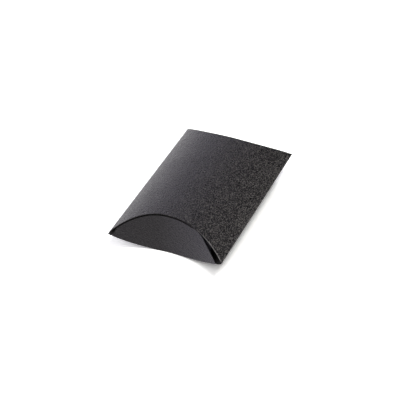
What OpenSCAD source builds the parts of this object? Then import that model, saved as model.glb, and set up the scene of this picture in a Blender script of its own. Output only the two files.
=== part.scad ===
// Pillow box of folded card: two arched panels that meet in straight side creases,
// and at each end two flaps folded in along curved creases.
// X runs across the box, Y along it and Z up. The photographed end faces -Y.
// The origin is on the surface that the box lies on, under its centre.

/* [Box] */
// Width across the two side creases
box_w = 80; // [60:1:110]
// Length from corner to corner
box_l = 130; // [100:1:200]
// Height of the upper panel above the side creases
top_rise = 14.2; // [11:0.1:18]
// Depth of the lower panel below the side creases
bottom_rise = 16.8; // [12:0.1:20]
// How far the curved end creases run in from the corners
end_depth = 16; // [10:0.5:20]
// Thickness of the card
card = 0.45; // [0.3:0.05:0.6]

/* [Arch] */
// Fullness of the upper panel, where 2 is close to an ellipse
top_fullness = 2; // [1.9:0.05:2.6]
// Fullness of the lower panel
bottom_fullness = 2.35; // [1.9:0.05:2.6]
// Fullness of the end creases, seen from above
crease_fullness = 2.25; // [1.9:0.05:2.6]
// Roundness of the panels beside the side creases, rounder below 1
shoulder_share = 0.85; // [0.8:0.05:1]
// How far the arch leans to the left, as a share of its height at the left crease
lean_share = 0.13; // [0:0.01:0.16]
// Width of the flat that the box lies on
rest_w = 12; // [8:1:20]

/* [Folds] */
// Width of a scored fold line
crease_w = 1.2; // [0.8:0.1:1.6]
// Play at a fold, and between pieces of card that lie over each other
fold_gap = 0.3; // [0.2:0.05:0.4]

/* [Outer flaps] */
// How far the left wing stops short of its corner
left_setback = 2; // [1.6:0.2:6]
// How far the right wing stops short of its corner
right_setback = 6; // [1.6:0.2:8]
// Length of the slanting cut at the end of the left wing
left_cut_l = 3; // [2:0.5:14]
// Length of the slanting cut at the end of the right wing
right_cut_l = 12; // [2:0.5:14]
// Height of the slanting cut at the end of the left wing
left_cut_h = 7; // [5:0.5:22]
// Height of the slanting cut at the end of the right wing
right_cut_h = 21; // [8:0.5:22]
// How much the slanting cuts hollow, straight at 1
cut_bend_share = 1; // [1:0.05:1.4]
// How far the free edge stops below the upper panel, measured straight up
edge_gap = 0.85; // [0.3:0.05:1.2]

/* [Inner flaps] */
// How far the wings stop short of the corners
inner_setback = 12; // [6:0.5:14]
// Room under the flap as it swings in over the lower panel
swing_gap = 0.6; // [0.4:0.1:1]

/* [Glued seam] */
// Width of the glue flap
glue_flap_w = 13; // [8:0.5:16]
// Distance from the curved creases to the ends of the glue flap
glue_setback = 4; // [3:0.5:8]
// Thickness of the line of glue
glue_t = 0.1; // [0.05:0.05:0.2]
// Bare margin along both edges of the glue
glue_margin = 1.5; // [1:0.5:2.5]

/* [Hidden] */
// Flat facets along an arch and along a fold, and steps in the search for an arch's peak
arch_facets = 48;
fold_facets = 3;
peak_steps = 400;

side_x = box_w / 2;
end_y = box_l / 2;
panel_x = side_x - crease_w;
box_h = top_rise + bottom_rise;
seam_z = bottom_rise;
overrun = crease_w;
slope_step = crease_w / 10;

card_black = [0.13, 0.13, 0.14];
card_dark = [0.1, 0.1, 0.105];
fold_grey = [0.2, 0.2, 0.21];
glue_cream = [0.8, 0.77, 0.68];

// An arch over shares -1 to 1 of the half width: a superellipse, tilted by the lean
function arch(t, fullness, power) =
    pow(1 - pow(min(abs(t), 1), fullness), power) * (1 - lean_share * t);
function arch_peak(fullness, power) =
    max([for (i = [-peak_steps : peak_steps]) arch(i / peak_steps, fullness, power)]);

top_peak = arch_peak(top_fullness, shoulder_share);
crease_peak = arch_peak(crease_fullness, 1);

// The lower arch is cut off level where it is as wide as the flat that the box lies on
rest_t = -pow(lean_share / (bottom_fullness * shoulder_share), 1 / (bottom_fullness - 1));
rest_level = min(
    arch(rest_t - rest_w / box_w, bottom_fullness, shoulder_share),
    arch(rest_t + rest_w / box_w, bottom_fullness, shoulder_share)
);

// Outer faces of the two panels, and the end crease's distance in from the corners
function top_z(x) = seam_z + top_rise * arch(x / side_x, top_fullness, shoulder_share) / top_peak;
function bottom_z(x) =
    seam_z - bottom_rise * min(1, arch(x / side_x, bottom_fullness, shoulder_share) / rest_level);
function crease_in(x) = end_depth * arch(x / side_x, crease_fullness, 1) / crease_peak;

// Lines a distance d below the upper panel's face and above the lower panel's, square to them
function top_slope(x) = (top_z(x + slope_step) - top_z(x - slope_step)) / (2 * slope_step);
function bottom_slope(x) = (bottom_z(x + slope_step) - bottom_z(x - slope_step)) / (2 * slope_step);
function under_top(x, d) = top_z(x) - d * sqrt(1 + pow(top_slope(x), 2));
function over_bottom(x, d) = bottom_z(x) + d * sqrt(1 + pow(bottom_slope(x), 2));

function spread(from, to, count) = [for (i = [0 : count]) from + (to - from) * i / count];
function reversed(points) = [for (i = [len(points) - 1 : -1 : 0]) points[i]];
function last(points) = points[len(points) - 1];

// A line of points moved by d to the left of its own direction
function shifted(points, d) = [
    for (i = [0 : len(points) - 1])
        let (run = points[min(i + 1, len(points) - 1)] - points[max(i - 1, 0)])
            points[i] + d * [-run.y, run.x] / norm(run)
];
function band(points, d0, d1) = concat(shifted(points, d0), reversed(shifted(points, d1)));

panel_xs = spread(-panel_x, panel_x, arch_facets);
top_line = [for (x = panel_xs) [x, top_z(x)]];
bottom_line = [for (x = panel_xs) [x, bottom_z(x)]];
end_line = [for (x = spread(-side_x, side_x, arch_facets)) [x, -end_y + crease_in(x)]];

// Depth of the glue flap's two faces under the upper panel's outer face
glue_top = card + glue_t;
glue_bottom = glue_top + card;

// How far in from the crease line the lower panel starts, behind the outer flap
panel_inset = card + fold_gap;
// How far in from the crease line the inner flap's two faces lie
inner_front = card + fold_gap;
inner_back = inner_front + card;

// The inner flap's hinge line: its upper edge, at the middle of the arch
inner_hinge_z = seam_z + top_rise - card - fold_gap;
inner_hinge_in = end_depth + inner_back;

// Lowest point that the inner flap may reach at x, so that it swings clear of the lower panel
function inner_run(x) = inner_hinge_in - crease_in(x) - inner_front;
function inner_radius(x) = inner_hinge_z - over_bottom(x, card + swing_gap);
function inner_drop(x) = sqrt(max(0, pow(inner_radius(x), 2) - pow(inner_run(x), 2)));
function inner_top(x) = under_top(x, card + fold_gap);
function inner_bottom(x) = inner_hinge_z - inner_drop(x);

// The outer flap's free edge: just under the upper panel, with a slanting cut at each wing
outer_left = -side_x + left_setback;
outer_right = side_x - right_setback;
function cut_rise(reach, cut_l, cut_h) = card + cut_h * pow(max(0, reach) / cut_l, cut_bend_share);
function left_rise(x) = cut_rise(x - outer_left, left_cut_l, left_cut_h);
function right_rise(x) = cut_rise(outer_right - x, right_cut_l, right_cut_h);
function outer_top(x) =
    min(under_top(x, card) - edge_gap, bottom_z(x) + min(left_rise(x), right_rise(x)));

// A profile in X and Z carried along the whole box
module along(points) {
    translate([0, end_y, 0])
        rotate([90, 0, 0])
            linear_extrude(height = box_l)
                polygon(points);
}

// A shape seen from above, carried up through the whole box
module upright(points) {
    translate([0, 0, -overrun])
        linear_extrude(height = box_h + 2 * overrun)
            polygon(points);
}

// Everything between the two end creases, held in from them by inset
module between_ends(inset) {
    front = shifted(end_line, inset);
    back = [for (p = reversed(front)) [p.x, -p.y]];
    upright(concat(front, back));
}

// The strip beside the front crease, from d0 to d1 in from it
module front_strip(d0, d1) {
    upright(band(end_line, d0, d1));
}

module at_back() {
    mirror([0, 1, 0])
        children();
}

module top_panel() {
    color(card_black)
        intersection() {
            along(band(top_line, 0, -card));
            between_ends(crease_w);
        }
}

module bottom_panel() {
    color(card_black)
        intersection() {
            along(band(bottom_line, 0, card));
            between_ends(panel_inset + crease_w);
        }
}

// Outline of the card bent round a side crease, from the panels' edges out to the corner.
// edge is -1 on the left and 1 on the right, and the three points close its inner side.
function fold_outline(edge, top_inner, corner_inner, bottom_inner) = concat(
    [for (x = spread(edge * panel_x, edge * side_x, fold_facets)) [x, top_z(x)]],
    [for (x = spread(edge * side_x, edge * panel_x, fold_facets)) if (x != edge * side_x) [x, bottom_z(x)]],
    [bottom_inner, corner_inner, top_inner]
);

module right_side_crease() {
    color(fold_grey)
        intersection() {
            along(fold_outline(
                1,
                last(shifted(top_line, -card)),
                [side_x - sqrt(2) * card, seam_z],
                last(shifted(bottom_line, card))
            ));
            between_ends(0);
        }
}

// On the left the fold carries the glue flap under the upper panel's cut edge
module left_side_crease() {
    color(fold_grey)
        intersection() {
            along(fold_outline(
                -1,
                shifted(top_line, -glue_bottom)[0],
                [-side_x + sqrt(2) * card, seam_z],
                shifted(bottom_line, card)[0]
            ));
            between_ends(0);
        }
}

// A layer under the upper panel, from d0 to d1 below its outer face, between two widths in X
module seam_layer(d0, d1, from, to) {
    intersection() {
        along(band(top_line, -d0, -d1));
        translate([from, -end_y, seam_z])
            cube([to - from, box_l, top_rise]);
    }
}

module glue_flap() {
    color(card_dark)
        intersection() {
            seam_layer(glue_top, glue_bottom, -side_x, -panel_x + glue_flap_w);
            between_ends(glue_setback);
        }
}

module glue_strip() {
    from = -panel_x + glue_margin;
    to = -panel_x + glue_flap_w - glue_margin;
    color(glue_cream)
        intersection() {
            seam_layer(card, glue_top, from, to);
            between_ends(glue_setback + glue_margin);
        }
}

module end_top_crease() {
    color(fold_grey)
        intersection() {
            along(band(top_line, 0, -card));
            front_strip(0, crease_w);
        }
}

module end_bottom_crease() {
    color(fold_grey)
        intersection() {
            along(band(bottom_line, 0, card));
            front_strip(panel_inset, panel_inset + crease_w);
        }
}

module outer_flap() {
    xs = spread(outer_left, outer_right, arch_facets);
    color(card_black)
        intersection() {
            along(concat(
                [for (x = xs) [x, bottom_z(x)]],
                reversed([for (x = xs) [x, outer_top(x)]])
            ));
            front_strip(0, card);
        }
}

module inner_flap() {
    half = side_x - inner_setback;
    xs = [for (x = spread(-half, half, arch_facets)) if (inner_top(x) - inner_bottom(x) > card) x];
    color(card_dark)
        intersection() {
            along(concat(
                [for (x = xs) [x, inner_bottom(x)]],
                reversed([for (x = xs) [x, inner_top(x)]])
            ));
            front_strip(inner_front, inner_back);
        }
}

module front_top_crease() {
    end_top_crease();
}

module front_bottom_crease() {
    end_bottom_crease();
}

module back_top_crease() {
    at_back() end_top_crease();
}

module back_bottom_crease() {
    at_back() end_bottom_crease();
}

module front_outer_flap() {
    outer_flap();
}

module front_inner_flap() {
    inner_flap();
}

module back_outer_flap() {
    at_back() outer_flap();
}

module back_inner_flap() {
    at_back() inner_flap();
}

top_panel();
bottom_panel();
left_side_crease();
right_side_crease();
glue_flap();
glue_strip();
front_top_crease();
front_bottom_crease();
back_top_crease();
back_bottom_crease();
front_outer_flap();
front_inner_flap();
back_outer_flap();
back_inner_flap();
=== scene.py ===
"""A black pillow favor box of fine-grained embossed card, lying flat on a white table.

X runs across the box, Y along it and Z up, and the photographed end faces -Y.
Shapes are worked out in millimetres, with the same formulas as the solids, and put down in metres.
"""
import math

import bpy
import numpy as np
from mathutils import Matrix, Vector


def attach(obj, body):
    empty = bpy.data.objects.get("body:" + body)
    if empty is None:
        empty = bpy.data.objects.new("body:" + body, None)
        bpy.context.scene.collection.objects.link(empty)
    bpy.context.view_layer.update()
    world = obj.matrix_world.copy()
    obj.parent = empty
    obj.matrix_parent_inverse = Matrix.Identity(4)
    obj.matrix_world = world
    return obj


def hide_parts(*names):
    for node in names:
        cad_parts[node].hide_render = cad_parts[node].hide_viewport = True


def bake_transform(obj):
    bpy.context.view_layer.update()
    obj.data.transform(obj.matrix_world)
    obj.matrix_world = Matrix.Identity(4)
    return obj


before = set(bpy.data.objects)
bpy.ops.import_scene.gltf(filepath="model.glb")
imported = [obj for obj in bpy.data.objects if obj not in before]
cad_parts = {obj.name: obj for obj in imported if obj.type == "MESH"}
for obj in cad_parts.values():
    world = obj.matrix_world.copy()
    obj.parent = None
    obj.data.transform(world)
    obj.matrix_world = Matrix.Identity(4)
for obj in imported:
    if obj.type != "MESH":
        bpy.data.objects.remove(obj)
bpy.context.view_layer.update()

# Metres in a millimetre
MM = 0.001

# Sizes of the box, in millimetres
SIDE_X = 40.0
END_Y = 65.0
TOP_RISE = 14.2
SEAM_Z = 16.8
END_DEPTH = 16.0
CARD = 0.45
TOP_FULLNESS = 2.0
BOTTOM_FULLNESS = 2.35
CREASE_FULLNESS = 2.25
SHOULDER = 0.85
STRAIGHT = 1.0
LEAN = 0.13
REST_W = 12.0
CREASE_W = 1.2
GAP = 0.3
PANEL_X = SIDE_X - CREASE_W

# The outer flap's wings: where they stop, and the slanting cuts at their ends
WING_LEFT = -SIDE_X + 2.0
WING_RIGHT = SIDE_X - 6.0
CUT_LEFT_L = 2.2
CUT_LEFT_H = 7.0
CUT_RIGHT_L = 13.0
CUT_RIGHT_H = 21.0

# The slit over the outer flap, and where it narrows because the flap all but touches the upper panel
EDGE_GAP = 1.15
TOUCH_X = 16.8
TOUCH_W = 3.2
TOUCH_SHARE = 0.75

# The inner flap, and the room that it swings in
INNER_X = SIDE_X - 12.0
SWING_GAP = 0.6
LEAN_DEPTH = 2.2
LEAN_RUN = 5.0

# The glued seam
GLUE_T = 0.1
GLUE_FLAP_W = 13.0
GLUE_SETBACK = 4.0
GLUE_MARGIN = 1.5

# Depths under the upper panel's outer face, and distances in from the crease line
GLUE_TOP = CARD + GLUE_T
GLUE_BOTTOM = GLUE_TOP + CARD
BEHIND_FLAP = CARD + GAP
INNER_BACK = BEHIND_FLAP + CARD
PANEL_IN = BEHIND_FLAP + CREASE_W

# Roundness of the folds, and how far the upper panel's cut edge reaches over the glued fold
NOSE_R = 0.3
FOLD_ROUND = 0.4
SEAM_REACH = 0.3

# Where the lower fold runs out to the crease line beyond a wing, how far in the upper fold's underside
# starts, and the least height of the outer flap's two faces
STEP_START = 0.1
STEP_END = 0.7
UNDER_EDGE = 0.08
LEAST_FACE = 0.05
LEAST_BACK = 0.02

# Where the upper end folds are lightened by wear and by a painted highlight, strongest on the right:
# distances in from the crease, and distances from the middle on each side
WEAR_AND_HIGHLIGHT_IN = (0.05, 0.4)
WEAR_AND_HIGHLIGHT_RIGHT = (14.0, 34.0)
WEAR_AND_HIGHLIGHT_LEFT = (20.0, 38.0)
WEAR_AND_HIGHLIGHT_LEFT_SHARE = 0.2

# The unevenness of the panels: its height, and how far from a fold it starts and is full
RIPPLE_H = 0.10
RIPPLE_FROM_SIDE = (2.0, 12.0)
RIPPLE_FROM_END = (2.0, 14.0)

# The hinges' height
HINGE_Z = SEAM_Z + TOP_RISE - CARD - GAP

# The room's broad lobes of light: where each comes from, the cosine at which it starts, its strength and
# its colour
ROOM_LOBES = (
    ((-0.8, 0.6, 0.1), 0.5, 1.75, (0.905, 0.88, 1.0, 1.0)),
    ((0.15, -0.9, 0.35), 0.2, 1.65, (0.99, 0.97, 0.985, 1.0)),
)

# Grid counts
ACROSS = 161
ALONG = 91
FLAP_ROWS = 46
NOSE_STEPS = 7
FOLD_STEPS = 5
SEAM_COLUMNS = 25
SPAN_STEPS = 801

# An edge sharper than this is shaded as an edge
SHARP_ANGLE = math.radians(35.0)

# The table, and the point that the lamp is aimed at, in metres
TABLE_HALF = 2.5
TABLE_Z = -0.00002
LAMP_TARGET = (0.0, 0.0, 0.015)


def arch(x, fullness, power):
    """Share of an arch's height at x: one less the share of the half width to the fullness, all to the power,
    tilted to the left by the lean."""
    t = np.clip(x / SIDE_X, -1.0, 1.0)
    return (1.0 - np.abs(t) ** fullness) ** power * (1.0 - LEAN * t)


SPAN = np.linspace(-SIDE_X, SIDE_X, SPAN_STEPS)
TOP_PEAK = arch(SPAN, TOP_FULLNESS, SHOULDER).max()
CREASE_PEAK = arch(SPAN, CREASE_FULLNESS, STRAIGHT).max()
REST_X = -SIDE_X * (LEAN / (BOTTOM_FULLNESS * SHOULDER)) ** (1.0 / (BOTTOM_FULLNESS - 1.0))
REST_LEVEL = arch(REST_X + np.array([-0.5, 0.5]) * REST_W, BOTTOM_FULLNESS, SHOULDER).min()


def top_z(x):
    """Outer face of the upper panel: its arch above the side creases."""
    return SEAM_Z + TOP_RISE * arch(x, TOP_FULLNESS, SHOULDER) / TOP_PEAK


def bottom_z(x):
    """Outer face of the lower panel: its arch below the side creases, cut off level where the box lies."""
    return SEAM_Z - SEAM_Z * np.minimum(1.0, arch(x, BOTTOM_FULLNESS, SHOULDER) / REST_LEVEL)


def crease_in(x):
    """How far the end crease lies in from the corners at x."""
    return END_DEPTH * arch(x, CREASE_FULLNESS, STRAIGHT) / CREASE_PEAK


def stretch(line, x):
    """Length of a step along a line for each step in x. It turns a distance square to the line into one along
    Y or Z."""
    step = 0.12
    slope = (line(x + step) - line(x - step)) / (2.0 * step)
    return np.sqrt(1.0 + slope ** 2)


def under_top(x, depth):
    """Height of the layer that lies depth below the upper panel's outer face, square to it."""
    return top_z(x) - depth * stretch(top_z, x)


def over_bottom(x, depth):
    """Height of the layer that lies depth above the lower panel's outer face, square to it."""
    return bottom_z(x) + depth * stretch(bottom_z, x)


def inboard(x, inset):
    """Y of the line that lies inset in from the front end crease, square to it."""
    return -END_Y + crease_in(x) + inset * stretch(crease_in, x)


def smooth(x, start, end):
    """Share that rises from 0 at start to 1 at end, level at both: 3 t t - 2 t t t."""
    t = np.clip((x - start) / (end - start), 0.0, 1.0)
    return t * t * (3.0 - 2.0 * t)


def eased(start, end, count):
    """Points from start to end, closer together towards both: half a turn of a cosine."""
    return start + (end - start) * (0.5 - 0.5 * np.cos(np.linspace(0.0, np.pi, count)))


def points(x, y, z):
    """A grid of points from three arrays that spread over each other."""
    return np.stack(np.broadcast_arrays(x, y, z), axis=-1)


def grid_quads(start, columns, rows):
    """Four-cornered faces over a grid whose points run down each column in turn."""
    i, j = np.meshgrid(np.arange(columns - 1), np.arange(rows - 1), indexing="ij")
    a = start + i * rows + j
    return np.stack([a, a + rows, a + rows + 1, a + 1], axis=-1).reshape(-1, 4)


def rim_quads(columns, rows):
    """Faces that close the four borders between an outer grid and the inner grid that follows it."""
    size = columns * rows
    index = np.arange(size).reshape(columns, rows)
    walls = []
    for border, back in ((index[:, 0], True), (index[:, -1], False), (index[0], False), (index[-1], True)):
        a = border[1:] if back else border[:-1]
        b = border[:-1] if back else border[1:]
        walls.append(np.stack([a, b, b + size, a + size], axis=-1))
    return np.concatenate(walls)


def volume(corners, quads):
    """Signed volume of a closed mesh, positive if its faces point outwards."""
    a, b, c, d = (corners[quads[:, k]] for k in range(4))
    return (np.einsum("ij,ij->i", a, np.cross(b, c)) + np.einsum("ij,ij->i", a, np.cross(c, d))).sum() / 6.0


def card_piece(name, outer, inner, node, slot, finishes, fold=None):
    """A closed piece of card from the grids of its two faces. Its finishes are for outer face, inner face and
    edges, and fold is how much each point of the outer face is lightened, by wear at a scored fold and by a
    painted highlight, from 0 to 1."""
    columns, rows = outer.shape[:2]
    corners = np.concatenate([outer.reshape(-1, 3), inner.reshape(-1, 3)]) * MM
    front = grid_quads(0, columns, rows)
    back = grid_quads(columns * rows, columns, rows)[:, ::-1]
    rims = rim_quads(columns, rows)
    quads = np.concatenate([front, back, rims])
    if volume(corners, quads) < 0.0:
        quads = quads[:, ::-1]
    mesh = bpy.data.meshes.new(name)
    mesh.from_pydata(corners, [], quads.tolist())
    for finish in finishes:
        mesh.materials.append(finish)
    kinds = np.repeat([0, 1, 2], [len(front), len(back), len(rims)])
    mesh.polygons.foreach_set("material_index", kinds.astype(np.int32))
    mesh.polygons.foreach_set("use_smooth", np.ones(len(quads), bool))
    wear = np.zeros(len(corners), np.float32)
    if fold is not None:
        wear[:columns * rows] = np.broadcast_to(fold, (columns, rows)).reshape(-1)
    mesh.attributes.new("fold", "FLOAT", "POINT").data.foreach_set("value", wear)
    place = mesh.attributes.new("rest_place", "FLOAT_VECTOR", "POINT")
    place.data.foreach_set("vector", corners.astype(np.float32).reshape(-1))
    mesh.set_sharp_from_angle(angle=SHARP_ANGLE)
    mesh.update()
    piece = bpy.data.objects.new(name, mesh)
    bpy.context.scene.collection.objects.link(piece)
    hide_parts(node)
    return piece


# Materials


class Nodes:
    """A short way to add nodes to a material or a world and to link them."""

    def __init__(self, owner):
        owner.use_nodes = True
        self.owner = owner
        self.tree = owner.node_tree
        self.tree.nodes.clear()

    def add(self, kind, settings=None, **inputs):
        """A node of that kind. Inputs are numbers, colours or other nodes' sockets, by name."""
        node = self.tree.nodes.new("ShaderNode" + kind)
        for key, value in (settings or {}).items():
            setattr(node, key, value)
        for key, value in inputs.items():
            socket = self.socket(node, key)
            if isinstance(value, bpy.types.NodeSocket):
                self.tree.links.new(value, socket)
            else:
                socket.default_value = value
        return node

    @staticmethod
    def socket(node, key):
        """The input whose name is the key with spaces for underscores, or whose number follows a plain n."""
        if key[0] == "n" and key[1:].isdigit():
            return node.inputs[int(key[1:])]
        return node.inputs[key.replace("_", " ")]

    def surface(self, shader, kind="OutputMaterial"):
        """Makes the shader the surface of its owner."""
        self.add(kind, Surface=shader)
        return self.owner


def place_of(nodes, follows):
    """Where a point of the piece is: its place at rest on a piece that bends, and Object coordinates on the
    others."""
    if follows:
        return nodes.add("Attribute", {"attribute_name": "rest_place"}).outputs["Vector"]
    return nodes.add("TexCoord").outputs["Object"]


def embossed_card(name, follows, least, most, painted_sheen):
    """The outer face: black card with a fine pressed grain and a satin sheen, lighter with wear on a fold and
    with a painted highlight on the upper end folds. The grain's pale specks show from least on the left of
    the box to most on its right, the extra ones being painted glints, and a pale bluish painted sheen grows
    to its full share on the right too."""
    nodes = Nodes(bpy.data.materials.new(name))
    place = place_of(nodes, follows)
    cells = nodes.add("TexVoronoi", {"feature": "SMOOTH_F1"}, Vector=place, Scale=850.0, Smoothness=0.25)
    fibre = nodes.add("TexNoise", Vector=place, Scale=1900.0, Detail=2.0, Roughness=0.6)
    fleck = nodes.add("TexNoise", Vector=place, Scale=1400.0, Detail=0.0)
    pressed = nodes.add(
        "Mix", {"data_type": "FLOAT"}, Factor=0.45, n2=cells.outputs["Distance"], n3=fibre.outputs["Fac"],
    )
    grain = nodes.add(
        "Mix", {"data_type": "FLOAT"}, Factor=0.3, n2=pressed.outputs["Result"], n3=fleck.outputs["Fac"],
    )
    height = grain.outputs["Result"]
    fold = nodes.add("Attribute", {"attribute_name": "fold"}).outputs["Fac"]
    rub = nodes.add(
        "MapRange", Value=fibre.outputs["Fac"], From_Min=0.35, From_Max=0.65, To_Min=0.35, To_Max=1.0,
    )
    wear_and_highlight = nodes.add("Math", {"operation": "MULTIPLY"}, n0=fold, n1=rub.outputs["Result"])
    tone = nodes.add("MapRange", Value=height, From_Min=0.3, From_Max=0.62, To_Min=0.0, To_Max=1.0)
    ink = nodes.add(
        "Mix", {"data_type": "RGBA"}, Factor=tone.outputs["Result"],
        A=(0.005, 0.0045, 0.0045, 1.0), B=(0.001, 0.0009, 0.0009, 1.0),
    )
    across = nodes.add("SeparateXYZ", Vector=place)
    # Pale specks: the least share is grain, and the extra share growing to the right is painted glints
    grain_and_glint_share = nodes.add(
        "MapRange", Value=across.outputs["X"], From_Min=-0.012, From_Max=0.032, To_Min=least, To_Max=most,
    )
    sparse = nodes.add(
        "MapRange", Value=fleck.outputs["Fac"], From_Min=0.58, From_Max=0.64, To_Min=0.0, To_Max=1.0,
    )
    flecks_and_glints = nodes.add(
        "Math", {"operation": "MULTIPLY"}, n0=sparse.outputs["Result"], n1=grain_and_glint_share.outputs["Result"],
    )
    flecked_and_glinting = nodes.add(
        "Mix", {"data_type": "RGBA"}, Factor=flecks_and_glints.outputs["Value"],
        A=ink.outputs["Result"], B=(0.145, 0.139, 0.129, 1.0),
    )
    # A pale bluish painted sheen growing to the right stands in for the flap's reflection
    painted_sheen_share = nodes.add(
        "MapRange", Value=across.outputs["X"], From_Min=-0.012, From_Max=0.032, To_Min=0.0, To_Max=painted_sheen,
    )
    with_painted_sheen = nodes.add(
        "Mix", {"data_type": "RGBA"}, Factor=painted_sheen_share.outputs["Result"],
        A=flecked_and_glinting.outputs["Result"], B=(0.076, 0.073, 0.092, 1.0),
    )
    # The pale grey on the folds is wear and a painted highlight
    with_wear_and_highlight = nodes.add(
        "Mix", {"data_type": "RGBA"}, Factor=wear_and_highlight.outputs["Value"],
        A=with_painted_sheen.outputs["Result"], B=(0.30, 0.29, 0.285, 1.0),
    )
    gloss = nodes.add(
        "MapRange", Value=fleck.outputs["Fac"], From_Min=0.36, From_Max=0.64, To_Min=0.26, To_Max=0.42,
    )
    flat = nodes.add("MapRange", Value=fold, From_Min=0.0, From_Max=1.0, To_Min=0.8, To_Max=0.25)
    bump = nodes.add(
        "Bump", {"invert": True}, Strength=flat.outputs["Result"], Distance=0.0012, Height=height,
    )
    shader = nodes.add(
        "BsdfPrincipled", Base_Color=with_wear_and_highlight.outputs["Result"], Roughness=gloss.outputs["Result"],
        Normal=bump.outputs["Normal"], IOR=1.40, Specular_Tint=(0.985, 0.93, 1.0, 1.0),
    )
    return nodes.surface(shader.outputs["BSDF"])


def card_back(name, follows):
    """The inner face: the same black card, unembossed and matt, with a faint fibre."""
    nodes = Nodes(bpy.data.materials.new(name))
    place = place_of(nodes, follows)
    fibre = nodes.add("TexNoise", Vector=place, Scale=900.0, Detail=4.0, Roughness=0.65)
    ink = nodes.add(
        "Mix", {"data_type": "RGBA"}, Factor=fibre.outputs["Fac"],
        A=(0.010, 0.010, 0.010, 1.0), B=(0.022, 0.021, 0.021, 1.0),
    )
    bump = nodes.add("Bump", Strength=0.35, Distance=0.00006, Height=fibre.outputs["Fac"])
    shader = nodes.add(
        "BsdfPrincipled", Base_Color=ink.outputs["Result"], Roughness=0.8, Normal=bump.outputs["Normal"],
    )
    return nodes.surface(shader.outputs["BSDF"])


def cut_edge(name, follows):
    """The knife-cut edges: black fibrous core of the card."""
    nodes = Nodes(bpy.data.materials.new(name))
    place = place_of(nodes, follows)
    fibre = nodes.add("TexNoise", Vector=place, Scale=2600.0, Detail=3.0, Roughness=0.7)
    ink = nodes.add(
        "Mix", {"data_type": "RGBA"}, Factor=fibre.outputs["Fac"],
        A=(0.002, 0.002, 0.002, 1.0), B=(0.010, 0.0095, 0.009, 1.0),
    )
    bump = nodes.add("Bump", Strength=0.5, Distance=0.00008, Height=fibre.outputs["Fac"])
    shader = nodes.add(
        "BsdfPrincipled", Base_Color=ink.outputs["Result"], Roughness=0.85, Normal=bump.outputs["Normal"],
    )
    return nodes.surface(shader.outputs["BSDF"])


def dried_glue(name):
    """The glue line: dry cream-white glue with a soft gloss."""
    nodes = Nodes(bpy.data.materials.new(name))
    place = nodes.add("TexCoord").outputs["Object"]
    cloud = nodes.add("TexNoise", Vector=place, Scale=350.0, Detail=3.0, Roughness=0.5)
    tone = nodes.add(
        "Mix", {"data_type": "RGBA"}, Factor=cloud.outputs["Fac"],
        A=(0.50, 0.46, 0.36, 1.0), B=(0.72, 0.68, 0.56, 1.0),
    )
    bump = nodes.add("Bump", Strength=0.4, Distance=0.00005, Height=cloud.outputs["Fac"])
    shader = nodes.add(
        "BsdfPrincipled", Base_Color=tone.outputs["Result"], Roughness=0.4, Normal=bump.outputs["Normal"],
    )
    return nodes.surface(shader.outputs["BSDF"])


FIXED = (
    embossed_card("embossed_card", False, least=0.2, most=1.0, painted_sheen=0.0),
    card_back("matt_card_back", False),
    cut_edge("knife_cut_edge", False),
)
BENDING = (
    embossed_card("embossed_flap", True, least=0.10, most=0.2, painted_sheen=0.5),
    card_back("matt_flap_back", True),
    cut_edge("knife_cut_flap", True),
)
GLUE = dried_glue("dried_glue")


# Panels


def ripple(x, y):
    """A slight unevenness of the card, level beside every fold: three long waves across each other."""
    wave = (
        0.5 * np.sin(0.115 * y + 0.06 * x + 0.7)
        + 0.3 * np.sin(0.21 * y - 0.11 * x + 2.1)
        + 0.2 * np.sin(0.33 * x + 0.05 * y)
    )
    from_side = SIDE_X - np.abs(x)
    from_end = np.abs(np.abs(y) - END_Y + crease_in(x))
    return RIPPLE_H * wave * smooth(from_side, *RIPPLE_FROM_SIDE) * smooth(from_end, *RIPPLE_FROM_END)


def panel(name, left, inset, face, layer, uneven, node):
    """A panel between its four folds: columns across, each running along Y between the two end creases."""
    x = eased(left, PANEL_X, ACROSS)[:, None]
    y = np.linspace(-1.0, 1.0, ALONG)[None, :] * -inboard(x, inset)
    rise = uneven * ripple(x, y)
    outer = points(x, y, face(x) + rise)
    inner = points(x, y, layer(x, CARD) + rise)
    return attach(card_piece(name, outer, inner, node, "black_card", FIXED), "box")


panel("upper_panel_card", -PANEL_X - SEAM_REACH, CREASE_W, top_z, under_top, 1.0, "top_panel")
panel("lower_panel_card", -PANEL_X, PANEL_IN, bottom_z, over_bottom, 0.0, "bottom_panel")


# Side creases


def turned(start, corner, end, count):
    """A rounded corner: the quadratic curve from start to end that is drawn towards the corner."""
    t = np.linspace(0.0, 1.0, count)[:, None]
    return (1.0 - t) ** 2 * start + 2.0 * t * (1.0 - t) * corner + t ** 2 * end


def side_crease(name, edge, upper, node):
    """The card bent round a side crease. Its profile runs from upper, a line of points in X and Z, round the
    corner and back along the lower panel, and is carried along Y from one end crease to the other."""
    lower_x = edge * np.linspace(SIDE_X - FOLD_ROUND, PANEL_X, FOLD_STEPS)
    lower = np.stack([lower_x, bottom_z(lower_x)], axis=-1)
    corner = np.array([edge * SIDE_X, SEAM_Z])
    bend = turned(upper[-1], corner, lower[0], NOSE_STEPS + 2)
    outer = np.concatenate([upper[:-1], bend, lower[1:]])
    inside = np.array([edge * (SIDE_X - math.sqrt(2.0) * CARD), SEAM_Z])
    first = upper[0] - [0.0, CARD * stretch(top_z, edge * PANEL_X)]
    last = np.array([edge * PANEL_X, over_bottom(edge * PANEL_X, CARD)])
    half = len(outer) // 2
    down = first + (inside - first) * np.linspace(0.0, 1.0, half + 1)[:, None]
    up = inside + (last - inside) * np.linspace(0.0, 1.0, len(outer) - half)[1:, None]
    inner = np.concatenate([down, up])
    share = np.linspace(-1.0, 1.0, ALONG)[None, :]
    sheets = [points(p[:, :1], share * -inboard(p[:, :1], 0.0), p[:, 1:]) for p in (outer, inner)]
    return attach(card_piece(name, *sheets, node, "folded_card", FIXED), "box")


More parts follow.
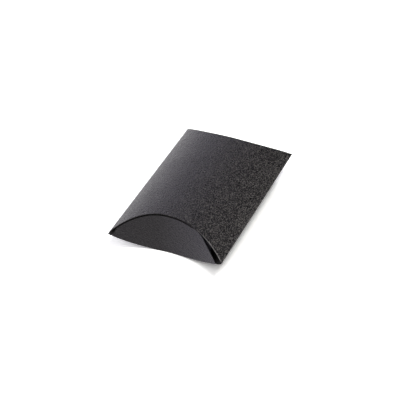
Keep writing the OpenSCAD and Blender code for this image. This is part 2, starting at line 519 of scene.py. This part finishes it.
right_x = np.linspace(PANEL_X, SIDE_X - FOLD_ROUND, FOLD_STEPS)
side_crease("right_fold_card", 1.0, np.stack([right_x, top_z(right_x)], axis=-1), "right_side_crease")

# On the left the fold runs on under the upper panel's cut edge, as the start of the glue flap
leaf_start = np.array([-PANEL_X, under_top(-PANEL_X, GLUE_TOP)])
leaf_end = leaf_start + (np.array([-SIDE_X, SEAM_Z]) - leaf_start) * (1.0 - FOLD_ROUND / CREASE_W)
leaf = leaf_start + (leaf_end - leaf_start) * np.linspace(0.0, 1.0, FOLD_STEPS)[:, None]
side_crease("left_fold_card", -1.0, leaf, "left_side_crease")


# The glued seam


def seam_layer(name, left, right, inset, top, bottom, node, slot, finishes):
    """A layer under the upper panel between two widths in X, held in from the end creases by inset."""
    x = np.linspace(left, right, SEAM_COLUMNS)[:, None]
    y = np.linspace(-1.0, 1.0, ALONG)[None, :] * -inboard(x, inset)
    outer = points(x, y, under_top(x, top))
    inner = points(x, y, under_top(x, bottom))
    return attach(card_piece(name, outer, inner, node, slot, finishes), "box")


seam_layer(
    "glue_flap_card", -PANEL_X, -PANEL_X + GLUE_FLAP_W, GLUE_SETBACK, GLUE_TOP, GLUE_BOTTOM,
    "glue_flap", "card_back", FIXED,
)
seam_layer(
    "glue_line", -PANEL_X + GLUE_MARGIN, -PANEL_X + GLUE_FLAP_W - GLUE_MARGIN, GLUE_SETBACK + GLUE_MARGIN,
    CARD, GLUE_TOP, "glue_strip", "glue", (GLUE, GLUE, GLUE),
)


# End creases and flaps, made for the front end and turned over in Y for the back


def at_end(grid, end):
    """The grid as it is at the front, or mirrored in Y at the back."""
    return grid if end == "front" else grid * np.array([1.0, -1.0, 1.0])


def nose(start_in, start_down, radius, count):
    """Distances in and down of a quarter turn that starts level and ends upright."""
    turn = np.linspace(0.0, math.pi / 2.0, count)
    return start_in - radius * np.sin(turn), start_down + radius * (1.0 - np.cos(turn))


def top_crease(end):
    """The upper panel's end fold: level from the panel, then a quarter turn down at the crease line."""
    x = eased(-PANEL_X - SEAM_REACH, PANEL_X, ACROSS)[:, None]
    turn_in, turn_down = nose(NOSE_R, 0.0, NOSE_R, NOSE_STEPS)
    insets = np.concatenate([[CREASE_W, 0.5 * (CREASE_W + NOSE_R)], turn_in])[None, :]
    depths = np.concatenate([np.zeros(2), turn_down])[None, :]
    outer = points(x, inboard(x, insets), under_top(x, depths))
    under = np.linspace(CREASE_W, UNDER_EDGE, insets.shape[1])[None, :]
    inner = points(x, inboard(x, under), under_top(x, CARD))
    # Painted highlight with wear along the fold's nose: full on the right, a smaller share on the left
    wear_and_highlight_sides = smooth(x, *WEAR_AND_HIGHLIGHT_RIGHT) + WEAR_AND_HIGHLIGHT_LEFT_SHARE * smooth(-x, *WEAR_AND_HIGHLIGHT_LEFT)
    fold = (1.0 - smooth(insets, *WEAR_AND_HIGHLIGHT_IN)) * wear_and_highlight_sides
    piece = card_piece(
        end + "_upper_fold_card", at_end(outer, end), at_end(inner, end),
        end + "_top_crease", "folded_card", FIXED, fold,
    )
    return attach(piece, "box")


def bottom_crease(end):
    """The lower panel's end fold behind the outer flap. Beyond the flap's wings it runs on out to the crease
    line."""
    x = eased(-PANEL_X, PANEL_X, ACROSS)[:, None]
    past_left = 1.0 - smooth(x, WING_LEFT - STEP_END, WING_LEFT - STEP_START)
    past_right = smooth(x, WING_RIGHT + STEP_START, WING_RIGHT + STEP_END)
    beyond = np.maximum(past_left, past_right)
    edge = BEHIND_FLAP * (1.0 - beyond)
    insets = PANEL_IN + (edge - PANEL_IN) * np.linspace(0.0, 1.0, FOLD_STEPS)[None, :]
    outer = points(x, inboard(x, insets), bottom_z(x))
    inner = points(x, inboard(x, insets), over_bottom(x, CARD))
    piece = card_piece(
        end + "_lower_fold_card", at_end(outer, end), at_end(inner, end),
        end + "_bottom_crease", "folded_card", FIXED,
    )
    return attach(piece, "box")


def flap_top(x):
    """Free edge of the outer flap: a slit's width under the upper panel, with a slanting cut at each wing.
    The slit is EDGE_GAP (1 - TOUCH_SHARE exp(-((x - TOUCH_X) / TOUCH_W)^2)) wide."""
    slit = EDGE_GAP * (1.0 - TOUCH_SHARE * np.exp(-((x - TOUCH_X) / TOUCH_W) ** 2))
    left = CUT_LEFT_H * (np.maximum(0.0, x - WING_LEFT) / CUT_LEFT_L)
    right = CUT_RIGHT_H * (np.maximum(0.0, WING_RIGHT - x) / CUT_RIGHT_L)
    return np.minimum(under_top(x, CARD) - slit, bottom_z(x) + CARD + np.minimum(left, right))


def outer_flap(end):
    """The concave end flap: down its face from the free edge, round the fold and in to the lower panel."""
    x = eased(WING_LEFT, WING_RIGHT, ACROSS)[:, None]
    turn_in, turn_up = nose(NOSE_R, 0.0, NOSE_R, NOSE_STEPS)
    turn_in, turn_up = turn_in[::-1], turn_up[::-1]
    rows = FLAP_ROWS + NOSE_STEPS
    foot = bottom_z(x) + NOSE_R
    top = np.maximum(flap_top(x), foot + LEAST_FACE)
    face = top + (foot - top) * np.linspace(0.0, 1.0, FLAP_ROWS)[None, :]
    outer_in = np.concatenate([np.zeros(FLAP_ROWS), turn_in[1:], [BEHIND_FLAP]])[None, :]
    turn_z = bottom_z(x) + turn_up[None, 1:]
    outer_z = np.concatenate([face, turn_z, bottom_z(x)], axis=1)
    outer = points(x, inboard(x, outer_in), outer_z)
    floor = over_bottom(x, CARD)
    inner_top = np.maximum(top, floor + LEAST_BACK)
    back = inner_top + (floor - inner_top) * np.linspace(0.0, 1.0, FLAP_ROWS)[None, :]
    inner_z = np.concatenate([back, np.repeat(floor, rows - FLAP_ROWS, axis=1)], axis=1)
    foot_in = np.linspace(CARD, BEHIND_FLAP, NOSE_STEPS + 1)[1:]
    inner_in = np.concatenate([np.full(FLAP_ROWS, CARD), foot_in])[None, :]
    inner = points(x, inboard(x, inner_in), inner_z)
    return card_piece(
        end + "_outer_flap_card", at_end(outer, end), at_end(inner, end),
        end + "_outer_flap", "black_card", BENDING,
    )


def lean_in(fall):
    """How far in the inner flap lies at a fall below its fold: LEAN_DEPTH (1 - exp(-fall / LEAN_RUN))."""
    return LEAN_DEPTH * (1.0 - np.exp(-np.maximum(0.0, fall) / LEAN_RUN))


def inner_flap(end):
    """The flap tucked in behind: from the upper panel's fold down to the arc that swings clear of the lower
    panel. Below the fold it leans in, as card does that is folded past square."""
    x = eased(-INNER_X, INNER_X, ACROSS)[:, None]
    radius = HINGE_Z - over_bottom(x, CARD + SWING_GAP)
    run = END_DEPTH + INNER_BACK - crease_in(x) - BEHIND_FLAP
    low = HINGE_Z - np.sqrt(np.maximum(0.0, radius ** 2 - run ** 2))
    start = under_top(x, CARD)
    outer_z = start + (low - start) * np.linspace(0.0, 1.0, FLAP_ROWS)[None, :]
    outer = points(x, inboard(x, BEHIND_FLAP + lean_in(start - outer_z)), outer_z)
    turn_in, turn_down = nose(INNER_BACK + NOSE_R, CARD, NOSE_R, NOSE_STEPS)
    turn_z = under_top(x, turn_down[None, :])
    below = turn_z[:, -1:]
    rest = below + (low - below) * np.linspace(0.0, 1.0, FLAP_ROWS - NOSE_STEPS + 1)[None, 1:]
    inner_z = np.concatenate([turn_z, rest], axis=1)
    insets = np.concatenate([turn_in, np.full(FLAP_ROWS - NOSE_STEPS, INNER_BACK)])[None, :]
    inner = points(x, inboard(x, insets + lean_in(start - inner_z)), inner_z)
    return card_piece(
        end + "_inner_flap_card", at_end(outer, end), at_end(inner, end),
        end + "_inner_flap", "black_card", BENDING,
    )


def bend_at(piece):
    """Bakes the piece's transform into its mesh; the piece is not bent here."""
    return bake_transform(piece)


for end_name in ("front", "back"):
    top_crease(end_name)
    bottom_crease(end_name)
    outer_piece = outer_flap(end_name)
    bend_at(outer_piece)
    inner_piece = inner_flap(end_name)
    bend_at(inner_piece)


# Table, light and camera


def white_table():
    """A white table top. In reflections it has a painted glow over its own shade, most of all to the left of
    the box. To the camera it is well exposed, with a painted shadow close under the box where ambient
    occlusion takes the extra exposure away, and it glows a little far away, so that it shows white and keeps
    the box's shadow."""
    nodes = Nodes(bpy.data.materials.new("white_table"))
    path = nodes.add("LightPath")
    mirrored = nodes.add(
        "Math", {"operation": "MAXIMUM"},
        n0=path.outputs["Is Glossy Ray"], n1=path.outputs["Is Transmission Ray"],
    )
    paint = nodes.add("BsdfDiffuse", Color=(0.88, 0.88, 0.88, 1.0))
    off = nodes.add("Emission", Strength=0.0)
    place = nodes.add("TexCoord").outputs["Object"]
    across = nodes.add("SeparateXYZ", Vector=place)
    # Painted reflection glow, strongest to the left of the box, seen only in reflections
    level = nodes.add(
        "MapRange", Value=across.outputs["X"], From_Min=-0.075, From_Max=-0.045, To_Min=0.75, To_Max=0.14,
    )
    glow = nodes.add("Emission", Color=(1.0, 1.0, 1.0, 1.0), Strength=level.outputs["Result"])
    lifted = nodes.add(
        "MixShader", n0=mirrored.outputs["Value"], n1=off.outputs["Emission"], n2=glow.outputs["Emission"],
    )
    away = nodes.add("VectorMath", {"operation": "LENGTH"}, n0=place)
    distant = nodes.add(
        "MapRange", Value=away.outputs["Value"], From_Min=0.25, From_Max=0.8, To_Min=0.0, To_Max=0.5,
    )
    haze = nodes.add("Emission", Color=(1.0, 1.0, 1.0, 1.0), Strength=distant.outputs["Result"])
    # Painted shadow: the extra exposure fades where ambient occlusion finds the table hidden under the box
    openness = nodes.add("AmbientOcclusion", {"samples": 8}, Distance=0.02).outputs["AO"]
    clear = nodes.add("MapRange", Value=openness, From_Min=0.12, From_Max=0.52, To_Min=0.0, To_Max=1.0)
    lit = nodes.add(
        "Mix", {"data_type": "RGBA"}, Factor=clear.outputs["Result"],
        A=(0.0, 0.0, 0.0, 1.0), B=(0.88, 0.91, 0.865, 1.0),
    )
    bright = nodes.add("BsdfDiffuse", Color=lit.outputs["Result"])
    seen = nodes.add("AddShader", n0=bright.outputs["BSDF"], n1=haze.outputs["Emission"])
    exposed = nodes.add(
        "MixShader", n0=path.outputs["Is Camera Ray"], n1=lifted.outputs["Shader"], n2=seen.outputs["Shader"],
    )
    both = nodes.add("AddShader", n0=paint.outputs["BSDF"], n1=exposed.outputs["Shader"])
    return nodes.surface(both.outputs["Shader"])


def table():
    """The table top: a square far wider than the view, just under the box."""
    mesh = bpy.data.meshes.new("table_top")
    signs = ((-1.0, -1.0), (1.0, -1.0), (1.0, 1.0), (-1.0, 1.0))
    corners = [(x * TABLE_HALF, y * TABLE_HALF, TABLE_Z) for x, y in signs]
    mesh.from_pydata(corners, [], [(0, 1, 2, 3)])
    mesh.materials.append(white_table())
    top = bpy.data.objects.new("table_top", mesh)
    bpy.context.scene.collection.objects.link(top)


def aimed(name, data, place, target):
    """An object at place whose -Z axis points at target."""
    thing = bpy.data.objects.new(name, data)
    bpy.context.scene.collection.objects.link(thing)
    place, target = Vector(place), Vector(target)
    thing.matrix_world = Matrix.LocRotScale(place, (target - place).to_track_quat("-Z", "Y"), None)
    return thing


def soft_lamp(name, place, size, power, colour):
    """A square soft box that points at the box."""
    data = bpy.data.lights.new(name, "AREA")
    data.shape = "SQUARE"
    data.size = size
    data.energy = power
    data.color = colour
    return aimed(name, data, place, LAMP_TARGET)


def white_room():
    """The world: two broad lobes of light, from behind on the left and from the front. Where the camera looks
    past the table it is plain white."""
    world = bpy.data.worlds.new("white_room")
    nodes = Nodes(world)
    way = nodes.add("TexCoord").outputs["Generated"]
    lobes = []
    for towards, start, strength, colour in ROOM_LOBES:
        aim = Vector(towards).normalized()
        facing = nodes.add("VectorMath", {"operation": "DOT_PRODUCT"}, n0=way, n1=aim)
        level = nodes.add(
            "MapRange", {"interpolation_type": "SMOOTHSTEP"}, Value=facing.outputs["Value"],
            From_Min=start, From_Max=1.0, To_Min=0.0, To_Max=strength,
        )
        lobe = nodes.add("Background", Color=colour, Strength=level.outputs["Result"])
        lobes.append(lobe.outputs["Background"])
    light = nodes.add("AddShader", n0=lobes[0], n1=lobes[1])
    white = nodes.add("Background", Color=(1.0, 1.0, 1.0, 1.0), Strength=1.0)
    path = nodes.add("LightPath")
    shown = nodes.add(
        "MixShader", n0=path.outputs["Is Camera Ray"],
        n1=light.outputs["Shader"], n2=white.outputs["Background"],
    )
    nodes.surface(shown.outputs["Shader"], "OutputWorld")
    bpy.context.scene.world = world


def camera():
    """The photograph's camera: its bearing, height and distance, and the small steps right and up that frame
    the box."""
    bearing = math.radians(22.95)
    height = math.radians(37.12)
    distance = 0.9661
    step_right = -0.00228
    step_up = -0.00515
    level = math.cos(height)
    sight = Vector((-math.sin(bearing) * level, math.cos(bearing) * level, -math.sin(height)))
    right = Vector((math.cos(bearing), math.sin(bearing), 0.0))
    up = right.cross(sight)
    data = bpy.data.cameras.new("photo_camera")
    data.lens = 129.1
    data.sensor_width = 36.0
    data.clip_start = 0.05
    data.clip_end = 20.0
    eye = bpy.data.objects.new("photo_camera", data)
    bpy.context.scene.collection.objects.link(eye)
    turn = Matrix((right, up, -sight)).transposed().to_4x4()
    middle = Vector((0.0, 0.0, SEAM_Z * MM))
    place = middle - distance * sight + step_right * right + step_up * up
    eye.matrix_world = Matrix.Translation(place) @ turn
    bpy.context.scene.camera = eye


table()
white_room()
soft_lamp("ceiling_lamp", place=(0.39, -0.16, 1.02), size=0.30, power=4.95, colour=(1.0, 0.985, 0.97))
camera()
bpy.context.scene.view_settings.view_transform = "Standard"
